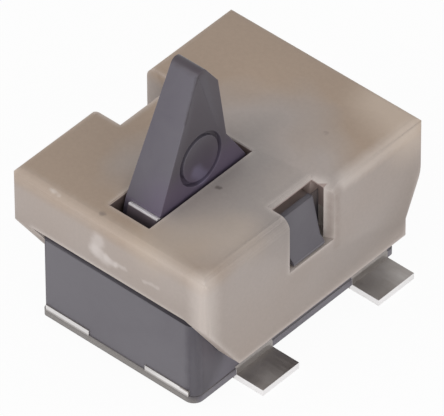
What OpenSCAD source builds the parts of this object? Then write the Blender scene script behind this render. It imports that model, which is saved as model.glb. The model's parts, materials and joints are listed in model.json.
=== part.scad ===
// Surface-mount detector switch with a lever that swings two ways.
// X runs along the lever's axle, Y along its swing, Z up from the seating plane.
// The origin is on the seating plane, under the middle of the cover.

/* [Cover] */
// Width of the cover, along the axle
cover_w = 3.38; // [3.34:0.02:3.6]
// Length of the cover, along the swing
cover_l = 4.3; // [4.2:0.05:5]
// Height of the cover's top above the seating plane
body_h = 2.58; // [2.52:0.02:2.8]
// Thickness of the cover's top plate
top_t = 0.32; // [0.3:0.01:0.34]
// Depth of the front end wall, from the top down
front_h = 0.83; // [0.7:0.01:1.1]
// Depth of the back end wall, from the top down
back_h = 0.73; // [0.6:0.01:1.1]
// Depth of the two side skirts, from the top down
skirt_h = 1.83; // [1.6:0.01:1.85]
// How far the front edge of a skirt leans back
front_lean = 0.66; // [0.2:0.01:0.8]
// How far the back edge of a skirt leans in
back_lean = 0.37; // [0.2:0.01:0.6]
// Height of the straight foot below the leaning back edge
back_foot = 0.29; // [0.1:0.01:0.4]
// Radius of the top edges
edge_r = 0.17; // [0.05:0.01:0.2]
// Radius of the upright corners
corner_r = 0.13; // [0.05:0.01:0.2]

/* [Slot] */
// Place of the slot and the lever across the width
slot_x = 0.095; // [0:0.01:0.1]
// Place of the slot and the lever along the length
slot_y = -0.825; // [-0.85:0.005:-0.79]
// Width of the slot
slot_w = 0.67; // [0.65:0.01:0.76]
// Length of the slot
slot_l = 1.975; // [1.95:0.01:2.05]
// Width of the small chamfer around the slot
slot_chamfer = 0.02; // [0.01:0.01:0.05]

/* [Notches] */
// Place of the right notch along the length
right_notch_y = -0.11; // [-0.15:0.01:0]
// Width of the hook's notch in the right side
right_notch_w = 0.81; // [0.75:0.01:1]
// Depth of the right notch into the side
right_notch_d = 0.34; // [0.28:0.01:0.36]
// Height of the right notch, from the top down
right_notch_h = 0.92; // [0.85:0.01:1]
// Place of the left notch along the length
left_notch_y = -0.05; // [-0.1:0.01:0]
// Width of the notch in the left side
left_notch_w = 1.09; // [0.9:0.01:1.2]
// Depth of the left notch into the side
left_notch_d = 0.52; // [0.45:0.01:0.54]
// Height of the left notch, from the top down
left_notch_h = 1.3; // [1.25:0.01:1.4]
// How far the bevel behind the right notch starts inside the notch's inner edge
bevel_in = 0.06; // [0.05:0.01:0.15]
// How far behind the right notch that bevel meets the outer edge
bevel_back = 0.42; // [0.3:0.01:0.5]
// Fall of that bevel where it meets the notch's back wall
bevel_fall = 0.07; // [0.04:0.01:0.1]
// Depth of the flare on the right notch's back corner
flare_d = 0.135; // [0.08:0.005:0.16]
// Width of that flare along the side
flare_w = 0.06; // [0.03:0.01:0.1]
// Thickness of the lip left over the undercut of the right notch
lip_t = 0.07; // [0.06:0.01:0.15]
// Radius of the round rim on top of that lip
rim_r = 0.06; // [0.03:0.01:0.06]
// Depth of the undercut beyond the notch's inner edge
under_d = 0.2; // [0.1:0.01:0.22]
// Length of the undercut behind the notch, inside the skirt
under_l = 0.15; // [0.1:0.01:0.2]

/* [Base] */
// Width of the base
base_w = 2.64; // [2.58:0.01:2.66]
// Length of the base
base_l = 3.9; // [3.8:0.01:3.94]
// Gap between the base's underside and the seating plane
standoff = 0.09; // [0.04:0.01:0.1]
// Radius of the base's upright corners
base_r = 0.06; // [0.04:0.01:0.15]
// Radius of the one rounder corner, front right
marked_r = 0.16; // [0.1:0.01:0.25]
// Height of the slab below the parting line
slab_h = 0.11; // [0.08:0.01:0.12]
// How far that slab stands proud
slab_step = 0.015; // [0.01:0.005:0.03]
// Distance of the ledge in the front wall below the cover's front edge
ledge_drop = 0.33; // [0.28:0.01:0.4]
// Depth of that ledge
ledge_d = 0.07; // [0.03:0.01:0.08]
// Thickness of the floor over the underside
floor_t = 0.42; // [0.36:0.01:0.5]
// Thickness of the end walls
end_wall = 0.245; // [0.2:0.005:0.28]
// Thickness of the side walls beside the back pocket
side_wall = 0.34; // [0.25:0.01:0.4]
// Thickness of the rib between the two pockets
rib_t = 0.3; // [0.2:0.01:0.4]
// Gap between the base's sides and the cover around them
cover_fit = 0.015; // [0.01:0.005:0.03]
// Gap between the base's top and the cover's plate
lid_gap = 0.01; // [0.005:0.005:0.02]

/* [Hooks] */
// Width of a snap hook
hook_w = 0.6; // [0.4:0.01:0.65]
// Height of a snap hook
hook_h = 0.7; // [0.6:0.01:0.72]
// Reach of a snap hook beyond the base's wall
hook_reach = 0.35; // [0.3:0.01:0.36]
// Thickness of a hook at its tip
hook_tip = 0.14; // [0.08:0.01:0.2]
// Reach of a hook's ramp where the lip starts
hook_ramp = 0.27; // [0.2:0.01:0.29]
// Height of the lip that flares out under the ramp
hook_lip = 0.12; // [0.05:0.01:0.15]
// Gap under a hook's catch
hook_gap = 0.03; // [0.01:0.01:0.05]

/* [Lever] */
// Height of the lever's tip above the cover
lever_h = 1.86; // [1.5:0.01:2.1]
// Thickness of the lever at the slot
lever_t = 0.6; // [0.55:0.01:0.62]
// Thickness of the lever at the tip
lever_tip_t = 0.45; // [0.35:0.01:0.5]
// Lean of the long front flank from upright
front_flank = 24; // [20:0.1:27]
// Lean of the steep back flank from upright
back_flank = 6.4; // [2:0.1:9]
// Distance of the back flank's foot from the axle line
back_foot_y = 0.63; // [0.6:0.01:0.65]
// Height of the shoulder at the top of the back flank, above the axle
shoulder_z = 1.84; // [1.2:0.01:1.9]
// Direction of the tip's rounding where the slant to the shoulder starts
tip_lean = 34; // [25:1:45]
// Radius at the lever's tip
tip_r = 0.1; // [0.06:0.01:0.14]
// Distance of the heel's edge from the axle line
heel_y = 0.92; // [0.86:0.01:0.93]
// Height of the heel's edge above the axle
heel_z = 0.3; // [0.24:0.01:0.3]
// Height above the axle where the heel leaves the back flank
heel_top = 0.87; // [0.75:0.01:0.9]
// Radius of the hub about the axle
hub_r = 0.8; // [0.78:0.01:0.82]
// Radius of the axle stubs
axle_r = 0.17; // [0.12:0.01:0.18]
// Length of a stub inside its bearing
bearing_l = 0.22; // [0.15:0.01:0.25]
// Outer radius of the ring groove in the lever's right face
ring_r = 0.4; // [0.3:0.01:0.42]
// Width of that groove
ring_w = 0.065; // [0.04:0.005:0.1]
// Depth of that groove
ring_d = 0.09; // [0.03:0.01:0.12]
// Height of the ring's middle above the axle
ring_z = 0.77; // [0.7:0.01:0.85]
// Offset of the ring's middle from the axle line
ring_y = 0.07; // [0:0.01:0.1]

/* [Fits] */
// Gap around the axle stubs in their seats
run_fit = 0.02; // [0.01:0.005:0.03]
// Gap between the hub and the walls of its pocket
hub_gap = 0.1; // [0.08:0.01:0.12]
// Gap between a contact arm and what slides past it
wipe_gap = 0.02; // [0.01:0.005:0.03]
// Gap between the brush and its groove in the hub
groove_fit = 0.005; // [0.003:0.001:0.01]

/* [Contacts] */
// Thickness of the lead frame
lead_t = 0.1; // [0.08:0.01:0.12]
// Height of the lead frame's underside inside the base
lead_z = 0.185; // [0.16:0.005:0.2]
// Width of a solder tab
tab_w = 0.71; // [0.6:0.01:0.8]
// Reach of a solder tab from the middle of the part
tab_reach = 1.8; // [1.76:0.01:1.9]
// Place of the front pair of tabs along the length
front_tab_y = -0.805; // [-0.9:0.005:-0.7]
// Place of the back pair of tabs along the length
back_tab_y = 1.48; // [1.4:0.005:1.52]
// How far the upright part of a tab stands proud of the base's slab
riser_proud = 0.005; // [0.005:0.005:0.02]
// Width of a cut tie bar at the base's end face
tie_w = 0.76; // [0.6:0.01:0.78]
// Gap between the middle and a tie bar on the right
right_tie_x = 0.46; // [0.4:0.01:0.5]
// Gap between the middle and a tie bar on the left
left_tie_x = 0.52; // [0.5:0.01:0.6]
// Width of a contact arm
arm_w = 0.22; // [0.15:0.01:0.23]
// Thickness of a contact arm
arm_t = 0.08; // [0.06:0.01:0.09]
// Depth of the brush in the hub
brush_t = 0.06; // [0.05:0.005:0.08]
// How far the brush stands proud of the hub
brush_proud = 0.05; // [0.02:0.01:0.06]

/* [Spring] */
// Diameter of the spring wire
wire_d = 0.07; // [0.05:0.005:0.08]
// Mean radius of the coil
coil_r = 0.18; // [0.16:0.01:0.2]
// Whole turns of the coil
coil_turns = 3; // [2:1:4]
// Pitch of the coil
coil_pitch = 0.075; // [0.07:0.005:0.08]
// Depth of the coil's middle below the axle
coil_drop = 1.44; // [1.4:0.01:1.5]
// Distance of the lever's lug from the axle
lug_drop = 0.58; // [0.5:0.01:0.6]
// Distance of the base's stop from the axle
stop_drop = 1.0; // [0.98:0.01:1.05]
// Gap between the spring and what it bears on
spring_fit = 0.01; // [0.005:0.005:0.015]

/* [Hidden] */
$fn = 64;
cut = 0.5;            // how far a cutter runs past the face it opens
root = 0.05;          // how far a joined shape runs into its neighbour
base_z = standoff;
plate_z = body_h - top_t;                      // underside of the cover's plate
base_top = plate_z - lid_gap;
axle_z = base_top;                             // the axle lies on the parting plane
axle_depth = body_h - axle_z;
skirt_z = body_h - skirt_h;
floor_z = base_z + floor_t;
lane_room = 0.6;      // room beside the lever for the spring and the lanes
axle_half = lever_t/2 + lane_room + bearing_l; // from the lever's middle to a stub's end
pocket_half = axle_half - bearing_l + run_fit; // half the hub pocket's width
hub_pocket_l = 2*(hub_r + hub_gap);
arm_clear = 0.25;     // room for the forward arm behind the hub
lead_mid = lead_z + lead_t/2;
lane_gap = 0.05;      // from the lever's middle plane to a contact lane
right_lane = slot_x + lane_gap;
left_lane = slot_x - lane_gap - arm_w;
heel_x = slot_x - lane_gap/2;                  // the heel stays beside the left lane
wipe_r = hub_r + brush_proud + wipe_gap + arm_t/2; // from the axle to a contact arm
brush_inset = 0.1;    // from the lever's left face to the brush
wall_x = base_w/2;
end_y = base_l/2;
coil_gap = 0.1;       // from the lever's face to the coil
coil_x = slot_x + lever_t/2 + coil_gap;
coil_z = axle_z - coil_drop;
post_r = coil_r - wire_d/2 - spring_fit;       // of the boss, the stop and the lug
coil_l = (coil_turns + 0.5)*coil_pitch;
web_l = 0.2;          // of a tab inside the base
riser_x = wall_x + slab_step + riser_proud - lead_t/2; // middle of a tab's upright part
strip_w = 0.3;        // of the strip that crosses under the back of the hub
arm_foot = 0.83;      // from the axle line to an upright arm
low_foot = 0.66;      // from the axle line to the low arm's foot
bow_angle = 40;       // below the axle, where an upright arm's bow meets the hub
bow_rise = 0.4;       // of an upright arm's slope up to its bow
bow_l = 0.16;         // half length of the low arm's bow
bow_fall = 0.06;      // of the low arm's bow towards its ends
post_past = 0.06;     // how far a post or a leg runs past the spring
lug_l = coil_gap + coil_l + post_past;
post_l = slot_x + pocket_half + root - coil_x + post_past/2;
leg_top = axle_z - lug_drop + post_r + post_past;
brush_top = 158;      // angles about the axle, from +Y towards +Z
band_low = 176;
lane_end = 310;
patch_from = 238;
patch_to = 302;

// ---- shared shapes ----

// A rectangle with four round corners about the point x, y
module round_rect(w, l, r, x = 0, y = 0) {
    translate([x, y]) {
        square([w - 2*r, l], center = true);
        square([w, l - 2*r], center = true);
        for (sx = [-1, 1], sy = [-1, 1])
            translate([sx*(w/2 - r), sy*(l/2 - r)]) circle(r);
    }
}

// An upright outline of width w and height h whose two top corners are round
module round_top(w, h, r) {
    translate([-w/2, 0]) square([w, h - r]);
    translate([-w/2 + r, 0]) square([w - 2*r, h]);
    for (s = [-1, 1]) translate([s*(w/2 - r), h - r]) circle(r);
}

// Outline drawn in Y and Z, pushed along X from x0 for a length l
module along_x(x0, l) {
    translate([x0, 0, 0]) rotate([90, 0, 90]) linear_extrude(l) children();
}

// Outline drawn in X and Z, pushed along Y from y0 for a length l
module along_y(y0, l) {
    translate([0, y0 + l, 0]) rotate([90, 0, 0]) linear_extrude(l) children();
}

// A box from its lowest corner to its highest
module span(low, high) {
    translate(low) cube(high - low);
}

// A flat strip of thickness t that follows a bent line, with round bends and square ends
module bent_line(points, t) {
    for (i = [0 : len(points) - 2]) {
        step = points[i + 1] - points[i];
        translate(points[i]) rotate(atan2(step[1], step[0]))
            translate([0, -t/2]) square([norm(step), t]);
    }
    for (i = [1 : len(points) - 2]) translate(points[i]) circle(d = t);
}

// A stub along X about the axle's line, moved down by drop
module stub(x0, l, r, drop = 0) {
    translate([x0, slot_y, axle_z - drop]) rotate([0, 90, 0]) cylinder(r = r, h = l);
}

// ---- cover ----

// Side outline of the cover, from the foot of the skirts up
module cover_side() {
    y0 = cover_l/2;
    front_z = skirt_h - front_h;
    back_z = skirt_h - back_h;
    difference() {
        round_top(cover_l, skirt_h, edge_r);
        polygon([[-y0 - cut, front_z], [-y0, front_z], [-y0 + front_lean, 0],
                 [-y0 + front_lean, -cut], [-y0 - cut, -cut]]);
        polygon([[y0 + cut, back_z], [y0, back_z], [y0 - back_lean, back_foot],
                 [y0 - back_lean, -cut], [y0 + cut, -cut]]);
    }
}

// Outer form: plan, front and side outlines cut each other
module cover_form() {
    intersection() {
        translate([0, 0, skirt_z]) linear_extrude(skirt_h) round_rect(cover_w, cover_l, corner_r);
        translate([0, 0, skirt_z]) along_y(-cover_l/2, cover_l) round_top(cover_w, skirt_h, edge_r);
        translate([0, 0, skirt_z]) along_x(-cover_w/2, cover_w) cover_side();
    }
}

// Slot with a small chamfer at its mouth
module slot_cut() {
    translate([slot_x, slot_y, 0]) {
        span([-slot_w/2, -slot_l/2, base_top - cut], [slot_w/2, slot_l/2, body_h + cut]);
        for (s = [-1, 1]) {
            translate([s*slot_w/2, 0, body_h]) rotate([0, 45, 0])
                cube([slot_chamfer*sqrt(2), slot_l + slot_chamfer, slot_chamfer*sqrt(2)],
                     center = true);
            translate([0, s*slot_l/2, body_h]) rotate([45, 0, 0])
                cube([slot_w + slot_chamfer, slot_chamfer*sqrt(2), slot_chamfer*sqrt(2)],
                     center = true);
        }
    }
}

// Notch in one side: through the top plate for depth d, and through the skirt below it
module notch_cut(side, y, w, d, h) {
    inner = cover_w/2 - d;
    mirror([side < 0 ? 1 : 0, 0, 0]) {
        span([inner, y - w/2, plate_z - root], [cover_w/2 + cut, y + w/2, body_h + cut]);
        span([min(inner, wall_x - root), y - w/2, body_h - h],
             [cover_w/2 + cut, y + w/2, plate_z]);
    }
}

// Flare and bevel behind the right notch. The bevel is level along its inner line
// and lowest where the flare meets the notch's back wall.
module notch_relief() {
    back_y = right_notch_y + right_notch_w/2;
    corner_x = cover_w/2 - flare_d;
    inner = [cover_w/2 - right_notch_d - bevel_in, back_y + bevel_in];
    outer = [cover_w/2, back_y + bevel_back];
    along = outer - inner;
    to_corner = [corner_x, back_y] - inner;
    fall_run = (along[0]*to_corner[1] - along[1]*to_corner[0])/norm(along);
    translate([inner[0], inner[1], body_h]) rotate([0, 0, atan2(along[1], along[0])])
        rotate([atan(bevel_fall/-fall_run), 0, 0])
            translate([0, -cover_l/4, 0]) cube([norm(along) + cut, cover_l/4, cut]);
    translate([0, 0, body_h - right_notch_h]) linear_extrude(right_notch_h)
        polygon([[corner_x, back_y - root], [corner_x, back_y], [cover_w/2, back_y + flare_w],
                 [cover_w/2 + cut, back_y + flare_w], [cover_w/2 + cut, back_y - root]]);
}

// Undercut of the right notch: below its lip, and inside the skirt behind its back wall.
// The lip's rim is round on top.
module notch_undercut() {
    front_y = right_notch_y - right_notch_w/2;
    back_y = right_notch_y + right_notch_w/2;
    inner = cover_w/2 - right_notch_d;
    span([inner - under_d, front_y, plate_z - root], [inner + root, back_y, body_h - lip_t]);
    along_y(front_y, right_notch_w) translate([inner - rim_r, body_h - rim_r])
        difference() {
            square(rim_r + root);
            circle(rim_r);
        }
    span([wall_x, back_y - root, body_h - right_notch_h],
         [cover_w/2 - flare_d, back_y + under_l, body_h - lip_t]);
}

module cover() {
    color("tan")
    difference() {
        cover_form();
        span([-wall_x - cover_fit, -end_y - cover_fit, skirt_z - cut],
             [wall_x + cover_fit, end_y + cover_fit, plate_z]);
        span([-wall_x - cover_fit, -cover_l/2 - cut, skirt_z - cut],
             [wall_x + cover_fit, 0, body_h - front_h]);
        span([-wall_x - cover_fit, 0, skirt_z - cut],
             [wall_x + cover_fit, cover_l/2 + cut, body_h - back_h]);
        slot_cut();
        notch_cut(1, right_notch_y, right_notch_w, right_notch_d, right_notch_h);
        notch_cut(-1, left_notch_y, left_notch_w, left_notch_d, left_notch_h);
        notch_relief();
        notch_undercut();
        stub(slot_x - axle_half - run_fit, 2*(axle_half + run_fit), axle_r + run_fit);
    }
}

// ---- base ----

// One snap hook: a ramp outwards from its top, with a flared lip below.
// What stands above the base keeps clear of the plate's edge at clear_x.
module hook(side, y, top, clear_x) {
    x0 = wall_x - root;
    low = min(top, base_top);
    mirror([side < 0 ? 1 : 0, 0, 0])
        along_y(y - hook_w/2, hook_w) difference() {
            polygon([[x0, top], [wall_x + hook_tip, top],
                     [wall_x + hook_ramp, top - hook_h + hook_lip],
                     [wall_x + hook_reach, top - hook_h + hook_lip/3],
                     [wall_x + hook_reach, top - hook_h], [x0, top - hook_h]]);
            translate([x0 - cut, low]) square([clear_x + hook_gap - x0 + cut, cut]);
        }
}

// The base's plan: one rounder corner at the front right marks which way round it sits
module base_plan(grow) {
    w = base_w + 2*grow;
    l = base_l + 2*grow;
    intersection() {
        round_rect(w, l, base_r);
        round_rect(2*w, 2*l, marked_r, -w/2, l/2);
    }
}

// Pockets in the base, seats for the axle
module base_pockets() {
    pocket_y = slot_y - hub_pocket_l/2;
    span([slot_x - pocket_half, pocket_y, floor_z],
         [slot_x + pocket_half, pocket_y + hub_pocket_l + arm_clear, base_top + cut]);
    span([-wall_x + side_wall, pocket_y + hub_pocket_l + arm_clear + rib_t, floor_z],
         [wall_x - side_wall, end_y - end_wall, base_top + cut]);
    stub(slot_x - axle_half - run_fit, 2*(axle_half + run_fit), axle_r + run_fit);
}

module base() {
    right_top = body_h - right_notch_h + hook_gap + hook_h;
    left_top = body_h - left_notch_h + hook_gap + hook_h;
    color("dimgray") {
        difference() {
            union() {
                translate([0, 0, base_z]) linear_extrude(base_top - base_z) base_plan(0);
                translate([0, 0, base_z]) linear_extrude(slab_h) base_plan(slab_step);
                hook(1, right_notch_y, right_top, cover_w/2 - right_notch_d);
                hook(-1, left_notch_y, left_top, cover_w/2 - left_notch_d);
            }
            span([-base_w, -base_l, body_h - front_h - ledge_drop],
                 [base_w, -end_y + ledge_d, base_top + cut]);
            base_pockets();
            common_form();
            reverse_form();
            forward_form();
            anchor_form();
        }
        for (drop = [coil_drop, stop_drop])
            stub(coil_x - post_past/2, post_l, post_r, drop);
    }
}

// ---- lever ----

// Distance of the back flank from the axle line at a height above the axle
function flank_y(z) = back_foot_y - (z - axle_depth)*tan(back_flank);

// Outline of the heel that fills the back of the slot
module heel_outline() {
    polygon([[0, 0], [heel_y, 0], [heel_y, heel_z], [flank_y(heel_top), heel_top],
             [0, heel_top]]);
}

// Outline of blade and hub about the axle, in Y and Z
module lever_outline() {
    f = front_flank;
    foot = hub_r*[-cos(f), sin(f)];
    tip_z = axle_depth + lever_h - tip_r;
    tip_y = foot[0] + (tip_z - foot[1])*tan(f) + tip_r/cos(f);
    shoulder = [flank_y(shoulder_z), shoulder_z];
    circle(hub_r);
    translate([tip_y, tip_z]) circle(tip_r);
    polygon([[0, 0], foot, [tip_y, tip_z] + tip_r*[-cos(f), sin(f)],
             [tip_y, tip_z] + tip_r*[cos(tip_lean), sin(tip_lean)],
             shoulder, [back_foot_y, axle_depth]]);
}

// Outline across the lever: straight to the cover's top, then thinner towards the tip
module lever_taper() {
    top = axle_depth + lever_h;
    polygon([[-lever_t/2, -hub_r - cut], [-lever_t/2, axle_depth], [-lever_tip_t/2, top],
             [lever_tip_t/2, top], [lever_t/2, axle_depth], [lever_t/2, -hub_r - cut]]);
}

module lever() {
    color("slategray") {
        difference() {
            union() {
                translate([slot_x, slot_y, axle_z]) intersection() {
                    union() {
                        along_x(-lever_t/2, lever_t) lever_outline();
                        along_x(heel_x - slot_x, lever_t) heel_outline();
                    }
                    along_y(-2*hub_r, 4*hub_r) lever_taper();
                }
                stub(slot_x - axle_half, 2*axle_half, axle_r);
            }
            brush_form(groove_fit);
            translate([slot_x + lever_t/2 - ring_d, slot_y + ring_y, axle_z + ring_z])
                rotate([0, 90, 0]) difference() {
                    cylinder(r = ring_r, h = cut);
                    translate([0, 0, -cut]) cylinder(r = ring_r - ring_w, h = 3*cut);
                }
        }
        stub(slot_x + lever_t/2 - root/2, lug_l + root/2, post_r, lug_drop);
    }
}

// ---- brush on the hub ----

// Part of a ring about the axle, between two angles
module ring_part(x0, l, inner, outer, from, to) {
    translate([x0, slot_y, axle_z]) rotate([90, 0, 90]) rotate([0, 0, from])
        rotate_extrude(angle = to - from) translate([inner, 0]) square([outer - inner, l]);
}

// The brush, or with grow > 0 the groove that it lies in
module brush_form(grow = 0) {
    inner = hub_r - brush_t - grow;
    outer = hub_r + (grow > 0 ? cut : brush_proud);
    turn = grow*90;
    left = slot_x - lever_t/2 + brush_inset - grow;
    right = slot_x + lever_t/2;
    lane = slot_x + lane_gap/2;
    ring_part(left, right - left, inner, outer, brush_top - turn, band_low + turn);
    ring_part(lane - grow, right - lane + grow, inner, outer, brush_top - turn, lane_end + turn);
    ring_part(left, right - left, inner, outer, patch_from - turn, patch_to + turn);
}

module moving_contact() {
    color("goldenrod") brush_form();
}

// ---- return spring ----

// Rings of points around the wire's line: down one leg, round the coil, up the other leg
coil_steps = 16;
wire_sides = 8;
coil_count = round((coil_turns + 0.5)*coil_steps);
function coil_angle(i) = -360*i/coil_steps;
function wire_place(i) =
    i < 0 ? [coil_x + wire_d/2, coil_r, leg_top - coil_z]
    : i > coil_count ? [coil_x + wire_d/2 + coil_l, -coil_r, leg_top - coil_z]
    : [coil_x + wire_d/2 + coil_l*i/coil_count, coil_r*cos(coil_angle(i)),
       coil_r*sin(coil_angle(i))];
function wire_out(i) = coil_angle(min(max(i, 0), coil_count));
function wire_ring(i) = [for (k = [0 : wire_sides - 1])
    wire_place(i) + wire_d/2*[sin(360*k/wire_sides),
                              cos(360*k/wire_sides)*cos(wire_out(i)),
                              cos(360*k/wire_sides)*sin(wire_out(i))]];
wire_rings = coil_count + 3;

module return_spring() {
    points = [for (i = [-1 : coil_count + 1]) each wire_ring(i)];
    sides = [for (i = [0 : wire_rings - 2], k = [0 : wire_sides - 1])
        let (a = i*wire_sides + k, b = i*wire_sides + (k + 1) % wire_sides)
        [a, a + wire_sides, b + wire_sides, b]];
    start = [for (k = [0 : wire_sides - 1]) k];
    end = [for (k = [wire_sides - 1 : -1 : 0]) (wire_rings - 1)*wire_sides + k];
    color("silver") translate([0, slot_y, coil_z])
        polyhedron(points, concat(sides, [start, end]));
}

// ---- lead frame ----

// A solder tab on one side, stepped down to the seating plane at the base's wall
module tab(side, y) {
    mirror([side < 0 ? 1 : 0, 0, 0])
        along_y(y - tab_w/2, tab_w)
            bent_line([[wall_x - web_l, lead_mid], [riser_x - lead_t/2, lead_mid],
                       [riser_x, lead_mid - lead_t/2], [riser_x, lead_t/2],
                       [tab_reach, lead_t/2]], lead_t);
}

// A flat piece of the lead frame inside the floor
module flat(x0, x1, y0, y1) {
    span([x0, y0, lead_z], [x1, y1, lead_z + lead_t]);
}

// Upright arm beside the hub, front or back, with its bow at the hub
module side_arm(x, side) {
    bow_z = axle_z - wipe_r*sin(bow_angle);
    translate([0, slot_y, 0]) mirror([0, side < 0 ? 1 : 0, 0])
        along_x(x, arm_w)
            bent_line([[arm_foot, lead_z], [arm_foot, bow_z - bow_rise],
                       [wipe_r*cos(bow_angle), bow_z], [arm_foot, bow_z + bow_rise/2]], arm_t);
}

// Arm that rises from the front and bows under the hub
module low_arm(x) {
    top = axle_z - wipe_r;
    translate([0, slot_y, 0]) along_x(x, arm_w)
        bent_line([[-low_foot, lead_z], [-low_foot, top - low_foot], [-bow_l, top - bow_fall],
                   [0, top], [bow_l, top - bow_fall]], arm_t);
}

// Left lead, front: tab, tie bar and the arm on the hub's front
module reverse_form() {
    foot = slot_y - arm_foot;
    tab(-1, front_tab_y);
    flat(-wall_x + root, -left_tie_x, foot, front_tab_y + tab_w/2);
    flat(-left_tie_x - tie_w, -left_tie_x, -end_y - slab_step, foot + root);
    flat(-left_tie_x - root, left_lane + arm_w, foot - root, foot + root);
    side_arm(left_lane, -1);
}

// Right lead, front: tab, tie bar and the arm under the hub
module common_form() {
    foot = slot_y - low_foot;
    tab(1, front_tab_y);
    flat(right_tie_x, wall_x - root, foot - root, front_tab_y + tab_w/2);
    flat(right_tie_x, right_tie_x + tie_w, -end_y - slab_step, foot);
    flat(right_lane, right_tie_x + root, foot - root, foot + root);
    low_arm(right_lane);
}

// Right lead, back: tab, tie bar and the arm on the hub's back
module forward_form() {
    foot = slot_y + arm_foot;
    near = back_tab_y - tab_w/2;
    tab(1, back_tab_y);
    flat(right_tie_x, wall_x - root, near, back_tab_y + tab_w/2);
    flat(right_tie_x, right_tie_x + tie_w, back_tab_y, end_y + slab_step);
    flat(left_lane, right_tie_x + root, near, near + strip_w);
    flat(left_lane, left_lane + arm_w, foot - root, near + root);
    side_arm(left_lane, 1);
}

// Left lead, back: a tab that only holds the part down
module anchor_form() {
    tab(-1, back_tab_y);
    flat(-wall_x + root, -left_tie_x, back_tab_y - tab_w/2, back_tab_y + tab_w/2);
    flat(-left_tie_x - tie_w, -left_tie_x, back_tab_y, end_y + slab_step);
}

module common_terminal() {
    color("lightgray") common_form();
}

module reverse_terminal() {
    color("lightgray") reverse_form();
}

module forward_terminal() {
    color("lightgray") forward_form();
}

module anchor_terminal() {
    color("lightgray") anchor_form();
}

cover();
base();
lever();
moving_contact();
return_spring();
common_terminal();
reverse_terminal();
forward_terminal();
anchor_terminal();
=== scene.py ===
import json
import math

import bpy
from mathutils import Matrix, Vector


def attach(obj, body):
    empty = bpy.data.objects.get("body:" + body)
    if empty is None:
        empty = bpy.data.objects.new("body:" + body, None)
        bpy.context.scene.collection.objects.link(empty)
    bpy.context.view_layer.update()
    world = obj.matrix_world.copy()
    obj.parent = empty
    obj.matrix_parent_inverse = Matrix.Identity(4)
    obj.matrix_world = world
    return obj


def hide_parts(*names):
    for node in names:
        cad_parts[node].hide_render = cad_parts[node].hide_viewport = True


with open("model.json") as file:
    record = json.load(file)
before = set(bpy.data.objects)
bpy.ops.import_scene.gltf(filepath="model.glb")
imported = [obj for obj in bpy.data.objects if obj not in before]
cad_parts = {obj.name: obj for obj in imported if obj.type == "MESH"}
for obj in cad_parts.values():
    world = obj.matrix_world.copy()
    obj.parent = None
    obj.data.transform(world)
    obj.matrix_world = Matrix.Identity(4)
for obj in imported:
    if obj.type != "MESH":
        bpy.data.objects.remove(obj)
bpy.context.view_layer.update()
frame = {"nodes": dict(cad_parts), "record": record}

mm = 0.001
nodes = frame["nodes"]
print("frame loaded:", len(nodes), "nodes")


# small helpers

def toLinear(hexText):
    parts = [int(hexText[i:i + 2], 16) / 255 for i in (1, 3, 5)]
    return tuple(c / 12.92 if c <= 0.04045 else ((c + 0.055) / 1.055) ** 2.4 for c in parts) + (1,)


def perMetre(sizeMm):
    return 1 / (sizeMm * mm)      # noise scale whose blobs are about this many millimetres


def addNode(tree, kind, place, settings=None, inputs=None, links=None):
    # adds one node, sets its properties and sockets, and links what feeds it
    node = tree.nodes.new(kind)
    node.location = place
    for name, value in (settings or {}).items():
        setattr(node, name, value)
    for name, value in (inputs or {}).items():
        node.inputs[name].default_value = value
    for name, source in (links or {}).items():
        tree.links.new(source, node.inputs[name])
    return node


def setRamp(ramp, stops):
    points = ramp.color_ramp.elements
    while len(points) > 1:
        points.remove(points[-1])
    points[0].position, points[0].color = stops[0]
    for position, colour in stops[1:]:
        points.new(position).color = colour


def startMaterial(name, shaderInputs):
    material = bpy.data.materials.new(name)
    material.use_nodes = True
    tree = material.node_tree
    tree.nodes.clear()
    shader = addNode(tree, "ShaderNodeBsdfPrincipled", (600, 0), inputs=shaderInputs)
    addNode(tree, "ShaderNodeOutputMaterial", (900, 0), links={"Surface": shader.outputs["BSDF"]})
    place = addNode(tree, "ShaderNodeTexCoord", (-1400, 0)).outputs["Object"]
    return material, tree, shader, place


def streakMask(tree, place, fromMm, toMm, radiusMm, row):
    # 1 along a short line between two points, 0 outside its radius, with a soft edge
    start = Vector(fromMm) * mm
    run = Vector(toMm) * mm - start
    offset = addNode(tree, "ShaderNodeVectorMath", (-1300, row), {"operation": "SUBTRACT"},
                     {1: start}, {0: place})
    along = addNode(tree, "ShaderNodeVectorMath", (-1150, row), {"operation": "DOT_PRODUCT"},
                    {1: run / run.length_squared}, {0: offset.outputs["Vector"]})
    held = addNode(tree, "ShaderNodeMapRange", (-1000, row),
                   links={"Value": along.outputs["Value"]})
    nearest = addNode(tree, "ShaderNodeVectorMath", (-850, row), {"operation": "SCALE"},
                      {0: run}, {"Scale": held.outputs["Result"]})
    away = addNode(tree, "ShaderNodeVectorMath", (-700, row), {"operation": "DISTANCE"},
                   links={0: offset.outputs["Vector"], 1: nearest.outputs["Vector"]})
    return addNode(tree, "ShaderNodeMapRange", (-550, row), {"interpolation_type": "SMOOTHSTEP"},
                   {"From Min": radiusMm * mm, "From Max": radiusMm * mm * 0.2},
                   {"Value": away.outputs["Value"]}).outputs["Result"]


def edgeMask(tree, radiusMm, row):
    # 0 on flat faces, rising to 1 along edges, from how far an eased normal turns away
    eased = addNode(tree, "ShaderNodeBevel", (-1300, row), {"samples": 6},
                    {"Radius": radiusMm * mm})
    flat = addNode(tree, "ShaderNodeNewGeometry", (-1300, row - 150))
    turn = addNode(tree, "ShaderNodeVectorMath", (-1100, row), {"operation": "DOT_PRODUCT"},
                   links={0: eased.outputs["Normal"], 1: flat.outputs["Normal"]})
    return addNode(tree, "ShaderNodeMapRange", (-900, row), {}, {
        "From Min": 0.99, "From Max": 0.8}, {"Value": turn.outputs["Value"]}).outputs["Result"]


wanderMm = 0.12      # over this distance the outline of a mark turns in or out


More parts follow.
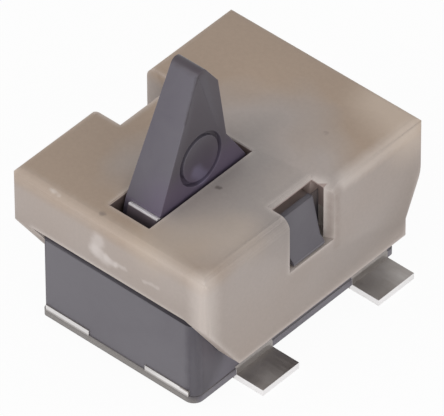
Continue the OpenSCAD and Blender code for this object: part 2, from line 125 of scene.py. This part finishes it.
def addMarks(tree, place, colour, marks, raggedMm):
    # mixes each mark's colour over what lies below it, with a wandering outline
    wander = addNode(tree, "ShaderNodeTexNoise", (-1800, -1000), {}, {
        "Scale": perMetre(wanderMm), "Detail": 2.0}, {"Vector": place})
    step = addNode(tree, "ShaderNodeVectorMath", (-1650, -1000), {"operation": "MULTIPLY_ADD"},
                   {1: [raggedMm * mm] * 3, 2: [raggedMm * mm * -0.5] * 3},
                   {0: wander.outputs["Color"]})
    ragged = addNode(tree, "ShaderNodeVectorMath", (-1500, -1000), {"operation": "ADD"},
                     links={0: place, 1: step.outputs["Vector"]}).outputs["Vector"]
    for count, mark in enumerate(marks):
        row = -1000 - 250 * count
        mask = streakMask(tree, ragged, mark["fromMm"], mark["toMm"], mark["radiusMm"], row)
        share = addNode(tree, "ShaderNodeMath", (-350, row), {"operation": "MULTIPLY"},
                        {1: mark["share"]}, {0: mask})
        marked = addNode(tree, "ShaderNodeMix", (-200, row), {"data_type": "RGBA"},
                         {7: toLinear(mark["colour"])}, {0: share.outputs["Value"], 6: colour})
        colour = marked.outputs[2]
    return colour


def insideBox(tree, axes, lowMm, highMm, row):
    # 1 inside a box, 0 outside
    inside = None
    for step, axis in enumerate("XYZ"):
        middle = (lowMm[step] + highMm[step]) / 2 * mm
        half = (highMm[step] - lowMm[step]) / 2 * mm
        near = addNode(tree, "ShaderNodeMath", (-1000 + 180 * step, row), {"operation": "COMPARE"},
                       {1: middle, 2: half}, {0: axes.outputs[axis]})
        if inside:
            near = addNode(tree, "ShaderNodeMath", (-1000 + 180 * step, row - 150),
                           {"operation": "MULTIPLY"},
                           links={0: inside.outputs["Value"], 1: near.outputs["Value"]})
        inside = near
    return inside.outputs["Value"]


# cover: glass-filled nylon, injection moulded, matt; it gives a soft beige grey that has
# yellowed on top towards its ends, with a painted highlight along its edges and corners, a few
# small handling marks, and painted shade on the walls inside the slot and the notch and down the
# notch's back edge

coverLook = {
    "grey": "#a29a96", "base": "#afa49e", "warm": "#ad9988", "paintedEdgeHighlight": "#e2d8d2",
    "middleMm": (0.6, -0.35, 2.58), "nearMm": 0.3, "farMm": 2.2,
    "wallTopMm": 2.3, "topMm": 2.56, "wallShare": 0.12,
    "cloudMm": 1.6, "grainMm": 0.05, "grainDepthMm": 0.002, "rough": 0.6,
    "edgeMm": 0.15, "edgeShare": 0.6, "raggedMm": 0.08,
    # painted shade on the walls inside the slot and the notch
    "paintedRecessShade": [
        {"lowMm": (-0.27, -1.84, 2.0), "highMm": (0.46, 0.19, 2.565), "colour": "#6b5c58"},
        {"lowMm": (1.0, -0.52, 2.0), "highMm": (1.552, 0.47, 2.53), "colour": "#a89690"},
    ],
    "marks": [
        # painted highlight down the front right corner
        {"fromMm": (1.65, -2.11, 0.9), "toMm": (1.65, -2.11, 2.5), "radiusMm": 0.34,
         "colour": "#e9dfd8", "share": 0.32},
        # painted highlight along the front top edge
        {"fromMm": (-1.6, -2.13, 2.56), "toMm": (1.6, -2.13, 2.56), "radiusMm": 0.2,
         "colour": "#e0d7d0", "share": 0.15},
        # painted highlight along the right top edge behind the notch
        {"fromMm": (1.66, 0.6, 2.5), "toMm": (1.66, 1.9, 2.5), "radiusMm": 0.2,
         "colour": "#ddd3cc", "share": 0.4},
        {"fromMm": (1.2, 2.1, 2.56), "toMm": (1.6, 2.0, 2.56), "radiusMm": 0.8,
         "colour": "#dccbbb", "share": 0.55},
        {"fromMm": (1.3, -1.2, 2.58), "toMm": (0.7, -1.9, 2.58), "radiusMm": 0.6,
         "colour": "#cdbba8", "share": 0.35},
        # painted shade down the back edge of the notch
        {"fromMm": (1.6, 0.41, 1.5), "toMm": (1.6, 0.41, 2.4), "radiusMm": 0.14,
         "colour": "#8e7b71", "share": 0.55},
        {"fromMm": (0.58, -0.665, 2.58), "toMm": (0.604, -0.651, 2.58), "radiusMm": 0.05,
         "colour": "#6d6460", "share": 0.85},
        {"fromMm": (-0.2, -2.006, 2.58), "toMm": (-0.185, -2.0, 2.58), "radiusMm": 0.05,
         "colour": "#7d726c", "share": 0.6},
        {"fromMm": (0.92, 1.055, 2.58), "toMm": (0.94, 1.055, 2.58), "radiusMm": 0.045,
         "colour": "#8c807a", "share": 0.45},
        {"fromMm": (-1.03, -2.1, 2.57), "toMm": (-0.89, -2.105, 2.57), "radiusMm": 0.05,
         "colour": "#ece6e2", "share": 0.5},
        {"fromMm": (-0.148, -2.15, 2.26), "toMm": (-0.21, -2.15, 2.04), "radiusMm": 0.15,
         "colour": "#dcd3cf", "share": 0.45},
        {"fromMm": (-0.2, -2.15, 2.04), "toMm": (-0.03, -2.15, 1.98), "radiusMm": 0.15,
         "colour": "#ded5d1", "share": 0.45},
        {"fromMm": (-0.02, -2.15, 2.02), "toMm": (0.137, -2.15, 1.99), "radiusMm": 0.085,
         "colour": "#ded5d1", "share": 0.45},
        {"fromMm": (0.137, -2.15, 1.989), "toMm": (0.311, -2.15, 2.026), "radiusMm": 0.055,
         "colour": "#ded5d1", "share": 0.35},
        {"fromMm": (0.62, -2.15, 1.995), "toMm": (0.88, -2.15, 2.045), "radiusMm": 0.05,
         "colour": "#ded5d1", "share": 0.3},
    ],
}


def coverNylon():
    look = coverLook
    material, tree, shader, place = startMaterial("glassFilledNylonMouldedMatt", {
        "Roughness": look["rough"], "IOR": 1.53, "Specular IOR Level": 0.4})
    axes = addNode(tree, "ShaderNodeSeparateXYZ", (-1300, 700), links={"Vector": place})
    middle = [c * mm for c in look["middleMm"]]
    away = addNode(tree, "ShaderNodeVectorMath", (-1300, 500), {"operation": "DISTANCE"},
                   {1: middle}, {0: place})
    outward = addNode(tree, "ShaderNodeMapRange", (-1100, 500), {}, {
        "From Min": look["nearMm"] * mm, "From Max": look["farMm"] * mm,
        "To Min": -0.65, "To Max": -0.1}, {"Value": away.outputs["Value"]})
    onTop = addNode(tree, "ShaderNodeMapRange", (-1100, 700), {}, {
        "From Min": look["wallTopMm"] * mm, "From Max": look["topMm"] * mm,
        "To Min": look["wallShare"], "To Max": 1.0}, {"Value": axes.outputs["Z"]})
    cloud = addNode(tree, "ShaderNodeTexNoise", (-1300, 300), {}, {
        "Scale": perMetre(look["cloudMm"]), "Detail": 2.0, "Roughness": 0.5}, {"Vector": place})
    drift = addNode(tree, "ShaderNodeMath", (-900, 500), {"operation": "ADD"},
                    links={0: outward.outputs["Result"], 1: cloud.outputs["Fac"]})
    yellowing = addNode(tree, "ShaderNodeMath", (-700, 500), {"operation": "MULTIPLY_ADD"},
                        {2: 0.5}, {0: drift.outputs["Value"], 1: onTop.outputs["Result"]})
    ramp = addNode(tree, "ShaderNodeValToRGB", (-500, 400),
                   links={"Fac": yellowing.outputs["Value"]})
    setRamp(ramp, [(0.3, toLinear(look["grey"])), (0.5, toLinear(look["base"])),
                   (0.8, toLinear(look["warm"]))])
    fine = addNode(tree, "ShaderNodeTexNoise", (-1100, 50), {}, {
        "Scale": perMetre(look["grainMm"]), "Detail": 4.0, "Roughness": 0.6}, {"Vector": place})
    fineTone = addNode(tree, "ShaderNodeMapRange", (-900, 50), {}, {
        "From Min": 0.3, "From Max": 0.7, "To Min": 0.97, "To Max": 1.03},
        {"Value": fine.outputs["Fac"]})
    grained = addNode(tree, "ShaderNodeMix", (-400, 200), {
        "data_type": "RGBA", "blend_type": "MULTIPLY"}, {0: 1.0},
        {6: ramp.outputs["Color"], 7: fineTone.outputs["Result"]})
    # painted highlight: the edges are mixed towards a pale tone, as where their rounds catch the
    # light
    edgeShare = addNode(tree, "ShaderNodeMath", (-700, -500), {"operation": "MULTIPLY"},
                        {1: look["edgeShare"]}, {0: edgeMask(tree, look["edgeMm"], -500)})
    paintedEdgeHighlight = addNode(tree, "ShaderNodeMix", (-200, 200), {"data_type": "RGBA"},
                     {7: toLinear(look["paintedEdgeHighlight"])},
                     {0: edgeShare.outputs["Value"], 6: grained.outputs[2]})
    colour = addMarks(tree, place, paintedEdgeHighlight.outputs[2], look["marks"], look["raggedMm"])
    # painted shade: each box inside the slot and the notch is mixed towards a darker tone
    for count, box in enumerate(look["paintedRecessShade"]):
        inside = insideBox(tree, axes, box["lowMm"], box["highMm"], 1000 + 400 * count)
        paintedRecessShade = addNode(tree, "ShaderNodeMix", (200, 400 + 250 * count), {"data_type": "RGBA"},
                          {7: toLinear(box["colour"])}, {0: inside, 6: colour})
        colour = paintedRecessShade.outputs[2]
    tree.links.new(colour, shader.inputs["Base Color"])
    roughness = addNode(tree, "ShaderNodeMapRange", (-500, -100), {}, {
        "From Min": 0.3, "From Max": 0.7, "To Min": look["rough"] - 0.08,
        "To Max": look["rough"] + 0.1}, {"Value": cloud.outputs["Fac"]})
    tree.links.new(roughness.outputs["Result"], shader.inputs["Roughness"])
    bump = addNode(tree, "ShaderNodeBump", (200, -300), {}, {
        "Strength": 0.5, "Distance": look["grainDepthMm"] * mm}, {"Height": fine.outputs["Fac"]})
    tree.links.new(bump.outputs["Normal"], shader.inputs["Normal"])
    return material


# base: liquid-crystal polymer, injection moulded, satin; it gives a cool dark grey with slow
# clouds from the flow, paler at the foot, with painted light on its sides and in the notch, and
# painted shade along its edges and down its front right corner.
# lever: acetal, injection moulded, satin; it gives a dark violet grey, with painted shade on its
# sides, below the cover's top, on the tip's top and in the ring, a painted highlight as a faint
# pale line along its edges, and painted light low in the ring and along its foot.

darkLooks = {
    "base": {"name": "liquidCrystalPolymerMouldedSatin", "main": "#6b686e", "flow": "#625e65",
             "low": "#85807d", "lowBelowMm": 0.2, "side": "#75717a", "sideShare": 0.9,
             "sideBelowMm": 1.6, "rough": 0.42, "flowMm": 0.9, "grainMm": 0.04,
             "grainDepthMm": 0.0012, "edge": "#4f4b52", "edgeShare": 0.5, "edgeMm": 0.05,
             "raggedMm": 0.06, "marks": [
                 # painted shade down the front right corner
                 {"fromMm": (1.3, -1.93, 0.25), "toMm": (1.3, -1.93, 1.6), "radiusMm": 0.2,
                  "colour": "#454149", "share": 0.75},
                 # painted light on the base inside the notch, brightening the shaded recess
                 {"fromMm": (1.05, -0.45, 2.2), "toMm": (1.05, 0.4, 2.2), "radiusMm": 0.42,
                  "colour": "#cbbcb6", "share": 0.9}]},
    "lever": {"name": "acetalMouldedSatin", "main": "#625e66", "flow": "#58535e",
              # the lever below the cover's top, inside the slot, takes painted shade
              "low": "#59525f", "lowBelowMm": 2.6, "side": "#524d53", "sideShare": 0.8,
              "sideBelowMm": 9.0, "rough": 0.4, "flowMm": 0.7, "grainMm": 0.035,
              "grainDepthMm": 0.001, "edge": "#857f8a", "edgeShare": 0.2, "edgeMm": 0.05,
              "raggedMm": 0.06, "marks": [
                  # painted shade on the top of the lever's tip
                  {"fromMm": (-0.12, -0.67, 4.43), "toMm": (0.31, -0.67, 4.43), "radiusMm": 0.15,
                   "colour": "#43393f", "share": 0.75},
                  {"fromMm": (0.25, -0.5, 4.32), "toMm": (0.2, -0.36, 4.1), "radiusMm": 0.22,
                   "colour": "#4a4147", "share": 0.5},
                  # painted light along the foot of the lever's side
                  {"fromMm": (0.395, -1.35, 2.6), "toMm": (0.395, -0.2, 2.6), "radiusMm": 0.6,
                   "colour": "#5e5169", "share": 0.6},
                  # painted shadow in the ring
                  {"fromMm": (0.395, -0.76, 3.02), "toMm": (0.395, -0.75, 3.02), "radiusMm": 0.46,
                   "colour": "#443c49", "share": 0.5},
                  # painted highlight low in the ring
                  {"fromMm": (0.395, -0.85, 2.87), "toMm": (0.395, -0.72, 2.68), "radiusMm": 0.15,
                   "colour": "#8a84a0", "share": 0.35},
                  {"fromMm": (0.324, -0.76, 4.36), "toMm": (0.352, -1.02, 3.78), "radiusMm": 0.04,
                   "colour": "#3d373d", "share": 0.6}]},
}


def darkMoulding(look):
    material, tree, shader, place = startMaterial(look["name"], {
        "IOR": 1.5, "Specular IOR Level": 0.45})
    flow = addNode(tree, "ShaderNodeTexNoise", (-1100, 300), {}, {
        "Scale": perMetre(look["flowMm"]), "Detail": 4.0, "Roughness": 0.6, "Distortion": 0.6},
        {"Vector": place})
    ramp = addNode(tree, "ShaderNodeValToRGB", (-900, 300), links={"Fac": flow.outputs["Fac"]})
    setRamp(ramp, [(0.3, toLinear(look["flow"])), (0.7, toLinear(look["main"]))])
    axes = addNode(tree, "ShaderNodeSeparateXYZ", (-1100, 600), links={"Vector": place})
    low = addNode(tree, "ShaderNodeMath", (-900, 600), {"operation": "LESS_THAN"},
                  {1: look["lowBelowMm"] * mm}, {0: axes.outputs["Z"]})
    lower = addNode(tree, "ShaderNodeMix", (-600, 400), {"data_type": "RGBA"},
                    {7: toLinear(look["low"])}, {0: low.outputs["Value"], 6: ramp.outputs["Color"]})
    # the faces across the axle get another tone: painted light on the base's sides, painted shade
    # on the lever's
    normal = addNode(tree, "ShaderNodeTexCoord", (-1400, 900)).outputs["Normal"]
    facing = addNode(tree, "ShaderNodeSeparateXYZ", (-1200, 900), links={"Vector": normal})
    across = addNode(tree, "ShaderNodeMath", (-1000, 900), {"operation": "ABSOLUTE"},
                     links={0: facing.outputs["X"]})
    flank = addNode(tree, "ShaderNodeMapRange", (-800, 900), {}, {
        "From Min": 0.75, "From Max": 0.95, "To Max": look["sideShare"]},
        {"Value": across.outputs["Value"]})
    below = addNode(tree, "ShaderNodeMath", (-800, 1100), {"operation": "LESS_THAN"},
                    {1: look["sideBelowMm"] * mm}, {0: axes.outputs["Z"]})
    sideShare = addNode(tree, "ShaderNodeMath", (-600, 900), {"operation": "MULTIPLY"},
                        links={0: flank.outputs["Result"], 1: below.outputs["Value"]})
    paintedSideTone = addNode(tree, "ShaderNodeMix", (-450, 500), {"data_type": "RGBA"},
                    {7: toLinear(look["side"])},
                    {0: sideShare.outputs["Value"], 6: lower.outputs[2]})
    # painted shade along the base's edges, and a painted highlight along the lever's
    edge = addNode(tree, "ShaderNodeMath", (-600, -500), {"operation": "MULTIPLY"},
                   {1: look["edgeShare"]}, {0: edgeMask(tree, look["edgeMm"], -500)})
    paintedEdgeTone = addNode(tree, "ShaderNodeMix", (-300, 300), {"data_type": "RGBA"},
                   {7: toLinear(look["edge"])}, {0: edge.outputs["Value"], 6: paintedSideTone.outputs[2]})
    colour = addMarks(tree, place, paintedEdgeTone.outputs[2], look["marks"], look["raggedMm"])
    tree.links.new(colour, shader.inputs["Base Color"])
    grain = addNode(tree, "ShaderNodeTexNoise", (-1100, 0), {}, {
        "Scale": perMetre(look["grainMm"]), "Detail": 3.0}, {"Vector": place})
    roughness = addNode(tree, "ShaderNodeMapRange", (-500, -100), {}, {
        "From Min": 0.3, "From Max": 0.7, "To Min": look["rough"] - 0.06,
        "To Max": look["rough"] + 0.1}, {"Value": flow.outputs["Fac"]})
    tree.links.new(roughness.outputs["Result"], shader.inputs["Roughness"])
    bump = addNode(tree, "ShaderNodeBump", (200, -300), {}, {
        "Strength": 0.5, "Distance": look["grainDepthMm"] * mm}, {"Height": grain.outputs["Fac"]})
    tree.links.new(bump.outputs["Normal"], shader.inputs["Normal"])
    return material


# leads: brass strip, silver plated, then stamped; it gives a soft grey with dull stains, and
# sheared ends painted bright as a highlight.
# contact: bronze strip, silver plated; it gives a dull violet grey, which is painted shade of the
# slot around it, with a painted highlight along its upper end.
# spring: stainless wire, drawn; it gives an even bright grey, hidden inside the switch.

metalLooks = {
    "lead": {"name": "brassStripSilverPlated", "main": "#aaa5a2", "dull": "#958f8b",
             "bright": "#eeecec", "metallic": 0.85, "rough": 0.5, "grainMm": (0.6, 0.03, 0.03)},
    # the contact's dull violet grey is painted shade of the slot around it
    "contact": {"name": "bronzeStripSilverPlated", "main": "#7a6e75", "dull": "#685e65",
                "bright": "#f6f2f4", "metallic": 0.45, "rough": 0.45, "grainMm": (0.03, 0.3, 0.3)},
    "spring": {"name": "stainlessWireDrawn", "main": "#a9a9ac", "dull": "#8c8c90",
               "metallic": 1.0, "rough": 0.3, "grainMm": (0.02, 0.2, 0.2)},
}
stainMm = 0.5
scratchDepthMm = 0.0008

leadEnds = {"tabEndMm": 1.7, "outsideMm": 1.3, "brokenMm": 0.205, "smoothMm": 0.225,
            "brokenShare": 0.15, "smoothShare": 0.72}
brushEnd = {"fadeMm": 2.532, "brightMm": 2.545}


def leadCuts(tree, place):
    # 1 on the sheared ends and sides of the strip outside the base: real cut faces, painted bright
    # as a highlight
    axes = addNode(tree, "ShaderNodeSeparateXYZ", (-1200, 600), links={"Vector": place})
    normal = addNode(tree, "ShaderNodeTexCoord", (-1400, 900)).outputs["Normal"]
    facing = addNode(tree, "ShaderNodeSeparateXYZ", (-1200, 900), links={"Vector": normal})
    reach = addNode(tree, "ShaderNodeMath", (-1000, 600), {"operation": "ABSOLUTE"},
                    links={0: axes.outputs["X"]})
    level = addNode(tree, "ShaderNodeMath", (-1000, 900), {"operation": "ABSOLUTE"},
                    links={0: facing.outputs["Z"]})
    upright = addNode(tree, "ShaderNodeMath", (-800, 900), {"operation": "LESS_THAN"},
                      {1: 0.3}, {0: level.outputs["Value"]})
    sideways = addNode(tree, "ShaderNodeMath", (-1000, 1050), {"operation": "ABSOLUTE"},
                       links={0: facing.outputs["Y"]})
    side = addNode(tree, "ShaderNodeMath", (-800, 1050), {"operation": "GREATER_THAN"},
                   {1: 0.7}, {0: sideways.outputs["Value"]})
    end = addNode(tree, "ShaderNodeMath", (-800, 600), {"operation": "GREATER_THAN"},
                  {1: leadEnds["tabEndMm"] * mm}, {0: reach.outputs["Value"]})
    either = addNode(tree, "ShaderNodeMath", (-600, 800), {"operation": "MAXIMUM"},
                     links={0: side.outputs["Value"], 1: end.outputs["Value"]})
    cut = addNode(tree, "ShaderNodeMath", (-400, 800), {"operation": "MULTIPLY"},
                  links={0: upright.outputs["Value"], 1: either.outputs["Value"]})
    # the tie ends are sheared smooth in their upper half and broken below
    torn = addNode(tree, "ShaderNodeMapRange", (-800, 1250), {}, {
        "From Min": leadEnds["brokenMm"] * mm, "From Max": leadEnds["smoothMm"] * mm,
        "To Min": leadEnds["brokenShare"], "To Max": leadEnds["smoothShare"]},
        {"Value": axes.outputs["Z"]})
    outside = addNode(tree, "ShaderNodeMath", (-800, 1400), {"operation": "GREATER_THAN"},
                      {1: leadEnds["outsideMm"] * mm}, {0: reach.outputs["Value"]})
    paintedGleam = addNode(tree, "ShaderNodeMath", (-600, 1250), {"operation": "MAXIMUM"},
                    links={0: torn.outputs["Result"], 1: outside.outputs["Value"]})
    return addNode(tree, "ShaderNodeMath", (-200, 900), {"operation": "MULTIPLY"},
                   links={0: cut.outputs["Value"], 1: paintedGleam.outputs["Value"]}).outputs["Value"]


def brushTop(tree, place):
    # 1 on the brush's upper end, where a painted highlight lies along its edge
    axes = addNode(tree, "ShaderNodeSeparateXYZ", (-1000, 600), links={"Vector": place})
    return addNode(tree, "ShaderNodeMapRange", (-800, 600), {}, {
        "From Min": brushEnd["fadeMm"] * mm, "From Max": brushEnd["brightMm"] * mm},
        {"Value": axes.outputs["Z"]}).outputs["Result"]


def platedMetal(look, brightWhere=None):
    material, tree, shader, place = startMaterial(look["name"], {"Metallic": look["metallic"]})
    grainPlace = addNode(tree, "ShaderNodeMapping", (-1200, 0), {}, {
        "Scale": [perMetre(size) for size in look["grainMm"]]}, {"Vector": place})
    grain = addNode(tree, "ShaderNodeTexNoise", (-1000, 0), {}, {"Scale": 1.0, "Detail": 3.0},
                    {"Vector": grainPlace.outputs["Vector"]})
    stain = addNode(tree, "ShaderNodeTexNoise", (-1000, 300), {}, {
        "Scale": perMetre(stainMm), "Detail": 4.0}, {"Vector": place})
    ramp = addNode(tree, "ShaderNodeValToRGB", (-800, 300), links={"Fac": stain.outputs["Fac"]})
    setRamp(ramp, [(0.35, toLinear(look["dull"])), (0.65, toLinear(look["main"]))])
    colour = ramp.outputs["Color"]
    # painted highlight where the mask is 1: on the leads' cut faces and on the brush's upper end
    if brightWhere:
        paintedGleam = addNode(tree, "ShaderNodeMix", (-200, 400), {"data_type": "RGBA"},
                        {7: toLinear(look["bright"])}, {0: brightWhere(tree, place), 6: colour})
        colour = paintedGleam.outputs[2]
    tree.links.new(colour, shader.inputs["Base Color"])
    roughness = addNode(tree, "ShaderNodeMapRange", (-400, -100), {}, {
        "From Min": 0.3, "From Max": 0.7, "To Min": look["rough"] - 0.06,
        "To Max": look["rough"] + 0.12}, {"Value": grain.outputs["Fac"]})
    tree.links.new(roughness.outputs["Result"], shader.inputs["Roughness"])
    bump = addNode(tree, "ShaderNodeBump", (200, -300), {}, {
        "Strength": 0.4, "Distance": scratchDepthMm * mm}, {"Height": grain.outputs["Fac"]})
    tree.links.new(bump.outputs["Normal"], shader.inputs["Normal"])
    return material


nylon = coverNylon()
polymer = darkMoulding(darkLooks["base"])
acetal = darkMoulding(darkLooks["lever"])
leadPlate = platedMetal(metalLooks["lead"], leadCuts)
contactPlate = platedMetal(metalLooks["contact"], brushTop)
springSteel = platedMetal(metalLooks["spring"])
print("materials made")


# moulded and stamped pieces: copies of the solids with a slight bevel on their sharp edges.
# The widths are upper limits: Blender's overlap clamp cuts them to what the shortest edges
# allow, which is next to nothing on the cover and base and very little on the lever.
# The rounds that can be seen are in the solids. Without the clamp the bevel tears the faces.

easedEdges = {
    "cover": {"piece": "coverMoulding", "widthMm": 0.03, "segments": 3, "slot": "cover_plastic"},
    "base": {"piece": "baseMoulding", "widthMm": 0.018, "segments": 2, "slot": "base_plastic"},
    "lever": {"piece": "leverMoulding", "widthMm": 0.025, "segments": 3, "slot": "lever_plastic"},
    "common_terminal": {"piece": "commonLead", "widthMm": 0.012, "segments": 2,
                        "slot": "lead_metal"},
    "reverse_terminal": {"piece": "reverseLead", "widthMm": 0.012, "segments": 2,
                         "slot": "lead_metal"},
    "forward_terminal": {"piece": "forwardLead", "widthMm": 0.012, "segments": 2,
                         "slot": "lead_metal"},
    "anchor_terminal": {"piece": "anchorLead", "widthMm": 0.012, "segments": 2,
                        "slot": "lead_metal"},
    "moving_contact": {"piece": "brushStrip", "widthMm": 0.008, "segments": 2,
                       "slot": "contact_metal"},
}


meshCare = {"weldMm": 0.0004, "flatDegrees": 0.5, "bevelFromDegrees": 35,
            "sliverMm": 0.001, "smoothBelowDegrees": 30}


def easedCopy(nodeName, settings):
    bpy.ops.object.select_all(action="DESELECT")
    piece = nodes[nodeName].copy()
    piece.data = nodes[nodeName].data.copy()
    piece.parent = None
    for key in list(piece.keys()):
        del piece[key]
    piece.name = settings["piece"]
    bpy.context.scene.collection.objects.link(piece)
    piece.select_set(True)
    bpy.context.view_layer.objects.active = piece
    bpy.ops.object.mode_set(mode="EDIT")
    bpy.ops.mesh.select_all(action="SELECT")
    bpy.ops.mesh.remove_doubles(threshold=meshCare["weldMm"] * mm)
    bpy.ops.mesh.dissolve_limited(angle_limit=math.radians(meshCare["flatDegrees"]))
    bpy.ops.object.mode_set(mode="OBJECT")
    bevel = piece.modifiers.new("easedEdges", "BEVEL")
    bevel.width = settings["widthMm"] * mm
    bevel.segments = settings["segments"]
    bevel.limit_method = "ANGLE"
    bevel.angle_limit = math.radians(meshCare["bevelFromDegrees"])
    bpy.ops.object.modifier_apply(modifier=bevel.name)
    # the bevel leaves a few faces with no width where short edges meet, and merging closes them
    bpy.ops.object.mode_set(mode="EDIT")
    bpy.ops.mesh.select_all(action="SELECT")
    bpy.ops.mesh.remove_doubles(threshold=meshCare["sliverMm"] * mm)
    bpy.ops.object.mode_set(mode="OBJECT")
    bpy.ops.object.shade_smooth_by_angle(angle=math.radians(meshCare["smoothBelowDegrees"]))
    return piece


pieces = {}
bodyOf = {n: b for b, group in frame["record"]["behaviour"]["bodies"].items() for n in group}
for nodeName, settings in easedEdges.items():
    piece = easedCopy(nodeName, settings)
    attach(piece, bodyOf[nodeName])
    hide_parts(nodeName)
    pieces[nodeName] = piece
    print(settings["piece"], len(piece.data.polygons), "faces")


finishes = {
    "cover": nylon, "base": polymer, "lever": acetal, "moving_contact": contactPlate,
    "return_spring": springSteel, "common_terminal": leadPlate, "reverse_terminal": leadPlate,
    "forward_terminal": leadPlate, "anchor_terminal": leadPlate,
}


def assign(piece, material):
    piece.data.materials.clear()
    piece.data.materials.append(material)


for nodeName, material in finishes.items():
    if nodeName in pieces:
        assign(pieces[nodeName], material)
    node = nodes[nodeName]
    if node.material_slots:
        for entry in node.material_slots:
            entry.link = "OBJECT"
            entry.material = material
    else:
        assign(node, material)
print("finishes assigned")


# floor, lights and camera

# floor: matt white paper; it gives an almost even white ground. The glow is the share of plain
# white that the camera and glossy rays see, so only a faint shadow is left.

stageLook = {"floorMm": 400, "floor": "#f4f4f4", "glow": 0.95, "worldStrength": 0.58}
lamps = {
    "frontLamp": {"azimuth": -15, "elevation": 22, "distanceMm": 60, "sizeMm": 50, "watts": 0.0085},
    "cornerLamp": {"azimuth": 42, "elevation": 10, "distanceMm": 60, "sizeMm": 40, "watts": 0.007},
    "sideLamp": {"azimuth": 82, "elevation": 22, "distanceMm": 60, "sizeMm": 50, "watts": 0.0035},
}
lampAimMm = (0, 0, 2)


def paleFloor():
    bpy.ops.object.select_all(action="DESELECT")
    bpy.ops.mesh.primitive_plane_add(size=stageLook["floorMm"] * mm, location=(0, 0, 0))
    floor = bpy.context.active_object
    floor.name = "paleFloor"
    material = bpy.data.materials.new("whitePaperMatt")
    material.use_nodes = True
    tree = material.node_tree
    tree.nodes.clear()
    paper = addNode(tree, "ShaderNodeBsdfDiffuse", (0, 0),
                    inputs={"Color": toLinear(stageLook["floor"])})
    glow = addNode(tree, "ShaderNodeEmission", (0, -150),
                   inputs={"Color": (1, 1, 1, 1), "Strength": 1.0})
    rays = addNode(tree, "ShaderNodeLightPath", (-400, 250))
    seen = addNode(tree, "ShaderNodeMath", (-200, 250), {"operation": "MAXIMUM"},
                   links={0: rays.outputs["Is Camera Ray"], 1: rays.outputs["Is Glossy Ray"]})
    share = addNode(tree, "ShaderNodeMath", (0, 250), {"operation": "MULTIPLY"},
                    {1: stageLook["glow"]}, {0: seen.outputs["Value"]})
    mix = addNode(tree, "ShaderNodeMixShader", (200, 0), links={
        0: share.outputs["Value"], 1: paper.outputs["BSDF"], 2: glow.outputs["Emission"]})
    addNode(tree, "ShaderNodeOutputMaterial", (400, 0), links={"Surface": mix.outputs["Shader"]})
    assign(floor, material)


def paleWorld(strength):
    world = bpy.data.worlds.new("whiteStudio")
    bpy.context.scene.world = world
    world.use_nodes = True
    tree = world.node_tree
    tree.nodes.clear()
    soft = addNode(tree, "ShaderNodeBackground", (0, 0),
                   inputs={"Color": (1, 1, 1, 1), "Strength": strength})
    white = addNode(tree, "ShaderNodeBackground", (0, -150),
                    inputs={"Color": (1, 1, 1, 1), "Strength": 1.0})
    rays = addNode(tree, "ShaderNodeLightPath", (-600, 250))
    gloss = addNode(tree, "ShaderNodeMath", (-400, 250), {"operation": "MAXIMUM"},
                    links={0: rays.outputs["Is Glossy Ray"],
                           1: rays.outputs["Is Transmission Ray"]})
    seen = addNode(tree, "ShaderNodeMath", (-200, 250), {"operation": "MAXIMUM"},
                   links={0: rays.outputs["Is Camera Ray"], 1: gloss.outputs["Value"]})
    mix = addNode(tree, "ShaderNodeMixShader", (200, 0), links={
        0: seen.outputs["Value"], 1: soft.outputs["Background"], 2: white.outputs["Background"]})
    addNode(tree, "ShaderNodeOutputWorld", (400, 0), links={"Surface": mix.outputs["Shader"]})


def softLamp(name, azimuth, elevation, distanceMm, sizeMm, watts):
    # azimuth from -Y towards +X, as the camera's
    a, e = math.radians(azimuth), math.radians(elevation)
    away = Vector((math.sin(a) * math.cos(e), -math.cos(a) * math.cos(e), math.sin(e)))
    data = bpy.data.lights.new(name, "AREA")
    data.shape = "DISK"
    data.size = sizeMm * mm
    data.energy = watts
    lamp = bpy.data.objects.new(name, data)
    bpy.context.scene.collection.objects.link(lamp)
    lamp.location = Vector(lampAimMm) * mm + away * distanceMm * mm
    lamp.rotation_euler = away.to_track_quat("Z", "Y").to_euler()


cameraView = {
    "azimuth": 41.876, "elevation": 42.393, "roll": -0.27, "distanceMm": 120.0,
    "pixelsPerMm": 76.976, "targetAtPixels": (218.371, 180.844), "targetMm": (0, 0, 1.9),
    "imageSize": (444, 416),
}


def aimCamera():
    view = cameraView
    a, e, r = (math.radians(view[k]) for k in ("azimuth", "elevation", "roll"))
    back = Vector((math.sin(a) * math.cos(e), -math.cos(a) * math.cos(e), math.sin(e)))
    level = Vector((math.cos(a), math.sin(a), 0))
    upright = back.cross(level)
    right = math.cos(r) * level + math.sin(r) * upright
    up = -math.sin(r) * level + math.cos(r) * upright
    width, height = view["imageSize"]
    atX, atY = view["targetAtPixels"]
    aim = Vector(view["targetMm"]) * mm
    aim += (right * (width / 2 - atX) - up * (height / 2 - atY)) / view["pixelsPerMm"] * mm
    camera = bpy.data.objects.new("camera", bpy.data.cameras.new("camera"))
    bpy.context.scene.collection.objects.link(camera)
    turn = Matrix((right, up, back)).transposed()
    camera.matrix_world = Matrix.Translation(aim + back * view["distanceMm"] * mm) @ turn.to_4x4()
    camera.data.sensor_width = 36.0
    camera.data.lens = 36.0 * view["pixelsPerMm"] * view["distanceMm"] / width
    camera.data.clip_start = 1 * mm
    camera.data.clip_end = 2.0
    bpy.context.scene.camera = camera


paleFloor()
paleWorld(stageLook["worldStrength"])
for lampName, settings in lamps.items():
    softLamp(lampName, **settings)
aimCamera()
bpy.context.scene.view_settings.view_transform = "Standard"
print("stage set")
